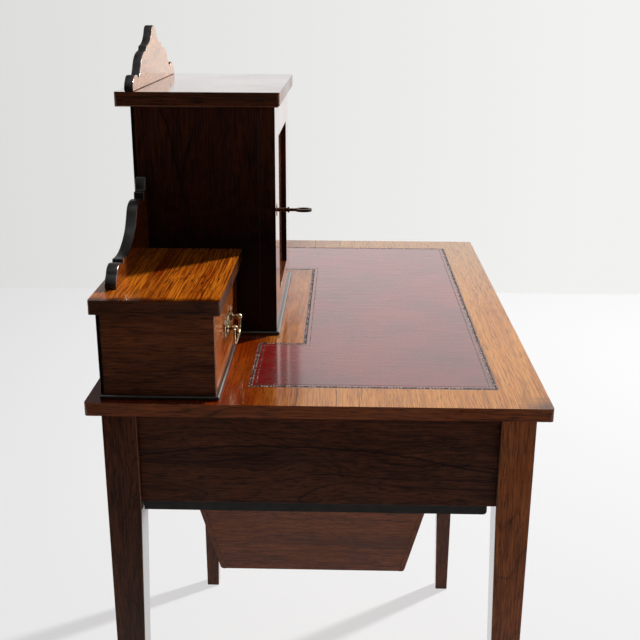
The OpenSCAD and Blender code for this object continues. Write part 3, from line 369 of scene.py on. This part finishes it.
def long_vein(tree, colour, axis, board, dark):
    """One vein that wanders over the whole board, drawn through the points of its course."""
    across_axis, width_mm, course = VEINS[board]
    start, end = course[0][0], course[-1][0]
    low, high = min(point[1] for point in course), max(point[1] for point in course)
    place = where(tree)[1]
    share = add(tree, "MapRange", [place[axis], start * MM, end * MM])
    curve = add(tree, "ValToRGB", [share], [
        ((along - start) / (end - start), grey((across - low) / (high - low))) for along, across in course])
    curve.color_ramp.interpolation = "B_SPLINE"
    height = add(tree, "MapRange", [curve, 0.0, 1.0, low * MM, high * MM])
    ragged = wavering(tree, 6 * MM, along_grain(tree, axis, 2), 14, 60, 3, 0.6)
    line = add(tree, "Math", [place[across_axis], ragged], operation="ADD")
    off = add(tree, "Math", [line, height], operation="SUBTRACT")
    off = add(tree, "Math", [off], operation="ABSOLUTE")
    near = add(tree, "MapRange", [off, 0.0, width_mm * MM, 0.85, 0.0], interpolation_type="SMOOTHSTEP")
    return add(tree, "Mix", [near, colour, dark], data_type="RGBA")


def desktop_tones(tree, colour):
    """The desktop is a deeper red-brown by the cupboard and the boxes, paler towards the sitter, and greyer
    towards its right-hand end."""
    whole, place = where(tree)
    cloud = add(tree, "Math", [cloudy(tree, whole, 90, 40, 4, 0.6), 0.12], operation="MULTIPLY")
    back = add(tree, "Math", [place["Y"], cloud], operation="ADD")
    redder = add(tree, "MapRange", [back, 0.03, 0.18], interpolation_type="SMOOTHSTEP")
    right = add(tree, "Math", [place["X"], cloud], operation="ADD")
    paler = add(tree, "MapRange", [right, -0.1, 0.45, 0.0, 0.6], interpolation_type="SMOOTHSTEP")
    colour = add(tree, "Mix", [paler, colour, linear("#9a8066")], data_type="RGBA")
    return tinted(tree, redder, colour, "#a05c22")


def tinted(tree, share, colour, tint):
    """The colour multiplied by a tint where share says so."""
    deep = add(tree, "Mix", [1.0, colour, linear(tint)], data_type="RGBA", blend_type="MULTIPLY")
    return add(tree, "Mix", [share, colour, deep], data_type="RGBA")


# Boards that are darker towards one place: the axis, where in mm the change starts and ends, and the tint
# Painted shade: the cupboard's sides and the door's edges go darker towards their sheltered foot
SHELTERED_PAINTED_SHADE = ("Z", 1050, 850, "#4c3830")
BLACK_BACK = "#141010"
TONED = {
    "cupboard_side_left": (SHELTERED_PAINTED_SHADE, ("Y", 246.5, 248.5, BLACK_BACK)),
    "cupboard_side_right": (SHELTERED_PAINTED_SHADE, ("Y", 246.5, 248.5, BLACK_BACK)),
    "door edges": (SHELTERED_PAINTED_SHADE,),
    "box_end_left": (("Y", 248.5, 250.5, BLACK_BACK),), "box_end_right": (("Y", 248.5, 250.5, BLACK_BACK),),
    "lid_left": (("X", -380, -397, "#5c5048"),), "lid_right": (("X", 380, 397, "#5c5048"),),
}


def toned(tree, colour, board):
    """Painted shade darkens the sheltered foot of the cupboard's sides and of the door's edges, and the back
    edges of the sides and of the box ends and the outer ends of the lids are darker as well."""
    whole, place = where(tree)
    for axis, start, end, tint in TONED[board]:
        ragged = wavering(tree, abs(end - start) * MM, whole, 40, 14, 4, 0.6)
        spot = add(tree, "Math", [place[axis], ragged], operation="ADD")
        share = add(tree, "MapRange", [spot, start * MM, end * MM], interpolation_type="SMOOTHSTEP")
        colour = tinted(tree, share, colour, tint)
    return colour


# Cracks at the ends of the desktop: where across the board each runs, its width in mm, and how far from the
# middle it starts
CRACKS = ((0.026, 0.9, 0.35), (-0.021, 0.7, 0.357), (-0.048, 0.5, 0.362), (0.118, 0.4, 0.352))
JOINT_Y = -0.2235
KNOCKED_CORNER = (-0.405, -0.271, 0.75)


def shakes(tree, colour):
    """Fine cracks that have opened along the grain at the ends of the desktop, a pale joint line along its front
    band, which fades towards the middle, and the front corner at the left knocked dark."""
    whole, place = where(tree)
    ragged = wavering(tree, 4 * MM, whole, 12, 200, 3, 0.6)
    across = add(tree, "Math", [place["Y"], ragged], operation="ADD")
    out = add(tree, "Math", [place["X"]], operation="ABSOLUTE")
    for depth, width_mm, start in CRACKS:
        off = add(tree, "Math", [across, depth], operation="SUBTRACT")
        off = add(tree, "Math", [off], operation="ABSOLUTE")
        near = add(tree, "MapRange", [off, width_mm * MM * 0.4, width_mm * MM, 0.8, 0.0])
        far_out = add(tree, "Math", [out, start], operation="GREATER_THAN")
        near = add(tree, "Math", [near, far_out], operation="MULTIPLY")
        colour = add(tree, "Mix", [near, colour, linear("#1c0d06")], data_type="RGBA")
    off = add(tree, "Math", [place["Y"], JOINT_Y], operation="SUBTRACT")
    off = add(tree, "Math", [off], operation="ABSOLUTE")
    line = add(tree, "MapRange", [off, 0.0, 0.9 * MM, 0.5, 0.0])
    left = add(tree, "Math", [place["X"], -1.0], operation="MULTIPLY")
    seen = add(tree, "ValToRGB", [left], [
        (0.0, grey(0.15)), (0.15, grey(0.4)), (0.25, grey(1)), (0.35, grey(0.9)), (0.37, grey(0))])
    line = add(tree, "Math", [line, seen], operation="MULTIPLY")
    colour = add(tree, "Mix", [line, colour, linear("#e8bd84")], data_type="RGBA")
    corner = add(tree, "VectorMath", [whole, KNOCKED_CORNER], operation="DISTANCE")
    corner = add(tree, "Math", [ragged, 9.0, corner], operation="MULTIPLY_ADD")
    knocked = add(tree, "MapRange", [corner, 10 * MM, 44 * MM, 0.8, 0.0])
    return add(tree, "Mix", [knocked, colour, linear("#3a1c0c")], data_type="RGBA")


def ebonised_wood(name="ebonised wood", polish=0.0):
    """Beads and edges stained black and waxed: near black, with a soft gleam and faint grain. The bead round
    the foot of the cupboard is polished too."""
    if name in bpy.data.materials:
        return bpy.data.materials[name]
    material, tree = new_material(name)
    cloud = cloudy(tree, along_grain(tree, "X", 0), 30, 12, 4, 0.6)
    finish_surface(tree, {
        "Base Color": add(tree, "ValToRGB", [cloud], [(0.3, linear("#110d0a")), (0.75, linear("#281f19"))]),
        "Roughness": add(tree, "ValToRGB", [cloud], [(0.3, grey(0.30)), (0.8, grey(0.5))]),
        "Normal": add(tree, "Bump", {"Height": cloud, "Distance": 0.05 * MM, "Strength": 0.3}),
        "Coat Weight": polish, "Coat Roughness": 0.1})
    return material


# Leather and metal

def skiver_leather():
    """Burgundy desk leather, vegetable tanned and polished: fine pebble, cloudy dye, and creases painted darker,
    partly their own colour and partly painted shade.
    """
    material, tree = new_material("burgundy skiver leather")
    place = where(tree)[0]
    cloud = add(tree, "TexNoise", {"Vector": place, "Scale": spaced(111.1), "Detail": 5.0, "Roughness": 0.6})
    dye = add(tree, "ValToRGB", [cloud], [(0.32, linear("#5e0e0e")), (0.68, linear("#821912"))])
    # Creases run across the hide, some 6 mm apart
    creases = cloudy(tree, along_grain(tree, "Y", 3), 60, 6, 4, 0.65, 0.6)
    # The creases are painted darker: partly their own colour, partly painted shade in them
    dark = add(tree, "ValToRGB", [creases], [(0.42, grey(0)), (0.70, grey(0.26))])
    # Pebble of the goatskin, drawn a little coarse so that it shows
    pebble = add(tree, "TexVoronoi", {"Vector": place, "Scale": spaced(1.613), "Smoothness": 0.6},
                 feature="SMOOTH_F1")
    height = add(tree, "Math", [pebble, 0.3, creases], operation="MULTIPLY_ADD")
    finish_surface(tree, {
        "Base Color": add(tree, "Mix", [dark, dye, linear("#3a1c12")], data_type="RGBA"),
        "Roughness": add(tree, "MapRange", [creases, 0.3, 0.7, 0.20, 0.34]),
        "Normal": add(tree, "Bump", {"Height": height, "Distance": 0.2 * MM, "Strength": 0.35}),
        "Coat Weight": 1.0, "Coat Roughness": 0.075})
    return material


def tooled_leather():
    """Blind tooling, the leather burnt dark by a hot wheel that leaves rows of small paler flowers, partly the
    wheel's pattern and partly painted glints on them.
    """
    material, tree = new_material("blind tooled leather")
    flowers = add(tree, "TexVoronoi", {"Vector": where(tree)[0], "Scale": spaced(3.846), "Randomness": 0.35})
    # Paler flowers: partly the wheel's pattern, partly painted glints
    finish_surface(tree, {
        "Base Color": add(tree, "ValToRGB", [flowers], [
            (0.22, linear("#c0a698")), (0.40, linear("#0e0807"))]),
        "Roughness": 0.5, "Specular IOR Level": 0.25,
        "Normal": add(tree, "Bump", {"Height": flowers, "Distance": -0.5 * MM, "Strength": 0.7})})
    return material


def aged_metal(name, spots_mm, tones, roughs, bump_mm, bump_strength):
    """Metal with spots of age, which differ in tone, polish and height."""
    material, tree = new_material(name)
    age = add(tree, "TexNoise", {"Vector": where(tree)[0], "Scale": spaced(spots_mm), "Detail": 4.0})
    finish_surface(tree, {
        "Base Color": add(tree, "ValToRGB", [age], [(at, linear(tone)) for at, tone in tones]),
        "Roughness": add(tree, "ValToRGB", [age], [(at, grey(rough)) for at, rough in roughs]),
        "Metallic": 1.0,
        "Normal": add(tree, "Bump", {"Height": age, "Distance": bump_mm * MM, "Strength": bump_strength})})
    return material


def cast_brass():
    """Cast brass pulls, lacquer gone: yellow and bright where hands rub, brown and dull in the hollows."""
    return aged_metal("cast brass", 3.846, ((0.40, "#4a3a28"), (0.56, "#cbb892")),
                      ((0.35, 0.42), (0.65, 0.2)), 0.06, 0.4)


def browned_iron():
    """The key: wrought iron browned with handling, an even satin."""
    return aged_metal("browned iron", 2.941, ((0.35, "#2b1b12"), (0.7, "#6a4a33")),
                      ((0.0, 0.38), (1.0, 0.38)), 0.08, 0.5)


# Pieces

# What lies closer than this is one point, and faces that turn less than this are one face
JOIN_MM, JOIN_DEGREES = 0.02, 0.5
# Edges that turn more than this are eased, those that turn less than this are shaded smooth, and faces past this
# size are broad
SHARP_DEGREES, SMOOTH_DEGREES = 25, 50
BROAD_MM2 = 100
# Faces lie in one plane if the cosine between them is above the first, and meet round one edge above the second
ONE_PLANE, ROUND_EDGE = 0.99996, 0.64


def edit(obj, choose, edges=False):
    """Edit mode on this object alone, with the faces or edges selected that choose holds for."""
    bpy.ops.object.select_all(action="DESELECT")
    obj.select_set(True)
    bpy.context.view_layer.objects.active = obj
    bpy.ops.object.mode_set(mode="EDIT")
    bpy.context.tool_settings.mesh_select_mode = (False, edges, not edges)
    mesh = bmesh.from_edit_mesh(obj.data)
    for element in mesh.edges if edges else mesh.faces:
        element.select = choose(element)
    bmesh.update_edit_mesh(obj.data)


def finish_edit():
    bpy.ops.mesh.select_all(action="DESELECT")
    bpy.ops.object.mode_set(mode="OBJECT")


def copied(node):
    """A copy of a CAD node with its loose triangles joined into whole faces, ready to shape."""
    piece = NODES[node].copy()
    piece.data = piece.data.copy()
    piece.parent = None
    piece.matrix_world = Matrix.Identity(4)
    piece.name = node + "_board"
    piece.data.materials.clear()
    bpy.context.scene.collection.objects.link(piece)
    edit(piece, lambda face: True)
    bpy.ops.mesh.remove_doubles(threshold=JOIN_MM * MM)
    bpy.ops.mesh.dissolve_limited(angle_limit=math.radians(JOIN_DEGREES))
    finish_edit()
    return piece


def stands_for(piece, node):
    """The piece rides on the node's body in its place."""
    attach(piece, BODY_OF[node])
    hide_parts(node)


def ease_edges(board, width_mm, shortest_mm):
    """Rounds the long edges of a board over, as plane and paper leave them."""
    broad = [face.normal.copy() for face in board.data.polygons if face.area > BROAD_MM2 * MM * MM]
    edit(board, lambda edge: len(edge.link_faces) == 2 and edge.calc_face_angle(0) > math.radians(SHARP_DEGREES)
         and edge.calc_length() > shortest_mm * MM, edges=True)
    bpy.ops.mesh.bevel(offset=width_mm * MM, segments=2, profile=0.5, affect="EDGES", clamp_overlap=True)
    bpy.ops.mesh.select_all(action="SELECT")
    bpy.ops.mesh.dissolve_degenerate(threshold=0.01 * MM)
    finish_edit()
    bpy.ops.object.shade_smooth_by_angle(angle=math.radians(SMOOTH_DEGREES))
    keep_flat(board.data, broad)


def keep_flat(mesh, broad):
    """Broad faces go on reflecting as flat ones, and the eased edges turn from one of them to the next."""
    flat = [any(face.normal.dot(normal) > ONE_PLANE for normal in broad) for face in mesh.polygons]
    beside = [[] for vertex in mesh.vertices]
    for face, is_flat in zip(mesh.polygons, flat):
        for vertex in face.vertices if is_flat else ():
            beside[vertex].append(face.normal.copy())
    normals = [corner.vector.copy() for corner in mesh.corner_normals]
    for face, is_flat in zip(mesh.polygons, flat):
        for corner, vertex in zip(face.loop_indices, face.vertices):
            near = [face.normal] if is_flat else [
                normal for normal in beside[vertex] if normal.dot(face.normal) > ROUND_EDGE]
            if near:
                normals[corner] = sum(near, Vector()).normalized()
    mesh.normals_split_custom_set(normals)


# Only edges longer than this are eased: on straight boards, and on the galleries, whose curves have short edges
LONG_EDGE_MM, CURVED_EDGE_MM = 14, 0.5


def dress_board(node, material, width_mm, shortest_mm=LONG_EDGE_MM):
    board = copied(node)
    ease_edges(board, width_mm, shortest_mm)
    board.data.materials.append(material)
    stands_for(board, node)
    return board


def finish_faces(board, material, belongs):
    """Gives a second finish to the faces for which belongs(normal, centre) holds."""
    board.data.materials.append(material)
    index = len(board.data.materials) - 1
    for face in board.data.polygons:
        if belongs(face.normal, face.center):
            face.material_index = index


def eased(normal):
    """True for the faces of a rounded edge, which lie square to no axis."""
    return max(abs(part) for part in normal) < 0.97


# What each board is cut from, the way its grain runs and how far its edges are eased, in mm
BOARDS = {
    "leg_front_left": ("lit front rosewood", "Z", 1.0), "leg_front_right": ("rosewood", "Z", 1.0),
    "leg_back_left": ("rosewood", "Z", 1.0), "leg_back_right": ("rosewood", "Z", 1.0),
    "side_rail_left": ("rosewood", "Y", 0.6), "side_rail_right": ("rosewood", "Y", 0.6),
    "back_rail": ("rosewood", "X", 0.6), "front_top_rail": ("lit front rosewood", "X", 0.6),
    "front_bottom_rail": ("lit front rosewood", "X", 0.6),
    "frieze_drawer_front": ("drawer front rosewood", "X", 0.8), "slide_front": ("rosewood", "X", 0.5),
    "well_front": ("lit well rosewood", "X", 0.8), "well_back_board": ("lit well rosewood", "X", 0.8),
    "well_sides": ("lit well rosewood", "Y", 0.8), "well_bottom": ("drawer lining", "X", 0.5),
    "base_boards": ("rosewood", "X", 0.4),
    "cupboard_side_left": ("shaded rosewood", "Z", 1.0), "cupboard_side_right": ("shaded rosewood", "Z", 1.0),
    "cupboard_shelf": ("rosewood", "X", 0.6), "back_boards": ("drawer lining", "X", 0.4),
    "top_gallery": ("crazed rosewood", "X", 1.4),
    "door_stiles": ("gallery rosewood", "Z", 1.1), "door_rails": ("gallery rosewood", "X", 1.1),
    "door_panel": ("gallery rosewood", "Z", 0.4),
    "box_end_left": ("box rosewood", "Y", 0.6), "box_end_right": ("box rosewood", "Y", 0.6),
    "gallery_left": ("gallery rosewood", "X", 1.4), "gallery_right": ("gallery rosewood", "X", 1.4),
    "drawer_front_left": ("drawer front rosewood", "X", 0.8),
    "drawer_front_right": ("drawer front rosewood", "X", 0.8),
    "drawer_sides_left": ("drawer lining", "Y", 0.4), "drawer_sides_right": ("drawer lining", "Y", 0.4),
    "drawer_bottom_left": ("drawer lining", "X", 0.4), "drawer_bottom_right": ("drawer lining", "X", 0.4),
    "frieze_drawer_sides": ("drawer lining", "Y", 0.4), "frieze_drawer_bottom": ("drawer lining", "X", 0.4),
    "slide_frame": ("drawer lining", "Y", 0.5),
}
# Boards whose four edges are cut from darker wood than their faces
EDGED = {
    "desktop": ("desktop rosewood", "desktop edge rosewood", 1.1), "cornice": ("gallery rosewood", "edge rosewood", 1.0),
    "lid_left": ("figured rosewood", "edge rosewood", 1.0),
    "lid_right": ("figured rosewood", "edge rosewood", 1.0),
}
# How many cuts there are of one wood, for faces and for worn edges
CUTS, EDGE_CUTS = 9, 3
# The door's back edges lie behind the first, the front edges of the cupboard's sides before the second, and the
# backs of the cupboard and the boxes behind the third
DOOR_BACK_Y, CUPBOARD_FRONT_Y, BACK_Y = 0.083, 0.088, 0.25


def dress_boards():
    black = ebonised_wood()
    for count, (node, (kind, axis, width_mm)) in enumerate(BOARDS.items()):
        gallery = "gallery" in node
        board = dress_board(node, wood(kind, axis, count % CUTS, node), width_mm,
                            CURVED_EDGE_MM if gallery else LONG_EDGE_MM)
        if gallery:
            finish_faces(board, black, lambda normal, centre: abs(normal.y) < 0.9)
        if node.startswith(("cupboard_side", "box_end")):
            finish_faces(board, black, lambda normal, centre: normal.y > 0.7 and centre.y > BACK_Y)
        if node == "back_boards":
            finish_faces(board, wood("stained deal", "X", 5), lambda normal, centre: normal.y > 0.7)
        # Painted shade: the door's side edges take the darker copy of rosewood
        if node in ("door_stiles", "door_rails"):
            finish_faces(board, wood("shaded rosewood", "Z", 3, "door edges"),
                         lambda normal, centre: abs(normal.x) > 0.7)
            # Painted shade: the door's back eased edges are black for the shade in the gap round the door
            finish_faces(board, black, lambda normal, centre: eased(normal) and centre.y > DOOR_BACK_Y)
        if node.startswith("cupboard_side"):
            # Painted shade: the front eased edges of the cupboard's sides are black for the shade in the gap
            # round the door
            finish_faces(board, black, lambda normal, centre: eased(normal) and centre.y < CUPBOARD_FRONT_Y)
        # The eased edges take the lighter edge wood: partly wear, partly a painted highlight
        if node.startswith(("leg_", "box_end", "slide_front", "well_")):
            finish_faces(board, wood("worn and highlit edge", axis, count % EDGE_CUTS),
                         lambda normal, centre: eased(normal))
        if node.startswith("leg_"):
            # Where no sun or hand reaches them, on the faces turned to each other, the legs keep their polish
            finish_faces(board, wood("polished leg rosewood", "Z", count % CUTS),
                         lambda normal, centre: normal.y * centre.y < 0 and abs(normal.y) > 0.9)
    for count, (node, (kind, edge_kind, width_mm)) in enumerate(EDGED.items()):
        board = dress_board(node, wood(kind, "X", count, node), width_mm)
        finish_faces(board, wood(edge_kind, "Y", count), lambda normal, centre: abs(normal.x) > 0.75)
        finish_faces(board, wood(edge_kind, "X", count), lambda normal, centre: abs(normal.y) > 0.75)
        finish_faces(board, wood("worn and highlit edge", "X", count), lambda normal, centre: eased(normal))


# The tooled border. Each step: how far in from the last, in mm, and which finish lies inside it
BORDER = ((1.0, 1), (4.2, 0), (4.0, 1), (0.9, 0))
TOOLING_MM = 0.12


def tool_leather():
    """The leather with its tooled border: a broad band by the edge and a thin line inside it."""
    leather = copied("leather")
    for finish in (skiver_leather(), tooled_leather()):
        leather.data.materials.append(finish)
    edit(leather, lambda face: face.normal.z > 0.9)
    for width_mm, finish in BORDER:
        bpy.ops.mesh.inset(thickness=width_mm * MM, depth=(-TOOLING_MM if finish else TOOLING_MM) * MM)
        leather.active_material_index = finish
        bpy.ops.object.material_slot_assign()
    finish_edit()
    stands_for(leather, "leather")


# The width of a plate's bevelled rim, and how far its face is raised
RIM_MM, RAISED_MM = 0.55, 0.35


def dress_plate(node, finish):
    """A pierced plate with its face raised a little inside a bevelled rim."""
    plate = copied(node)
    edit(plate, lambda face: face.normal.y < -0.9)
    bpy.ops.mesh.inset(thickness=RIM_MM * MM, depth=0)
    bpy.ops.transform.translate(value=(0, -RAISED_MM * MM, 0))
    finish_edit()
    bpy.ops.object.shade_smooth_by_angle(angle=math.radians(SMOOTH_DEGREES))
    plate.data.materials.append(finish)
    stands_for(plate, node)


def paint(node, material):
    """A CAD node whose shape is right keeps it and takes its finish."""
    obj = NODES[node]
    obj.data.materials.clear()
    obj.data.materials.append(material)
    for face in obj.data.polygons:
        face.material_index = 0


def dress_fittings():
    finishes = {"cast_brass": cast_brass(), "key_iron": browned_iron(), "ebonised_wood": ebonised_wood()}
    for node, slot in SLOT_OF.items():
        if "plate" in node:
            dress_plate(node, finishes[slot])
        elif node == "base_bead":
            paint(node, ebonised_wood("ebonised bead", 1.0))
        elif slot in finishes:
            paint(node, finishes[slot])


add_camera()
add_room()
add_lights()
dress_boards()
tool_leather()
dress_fittings()
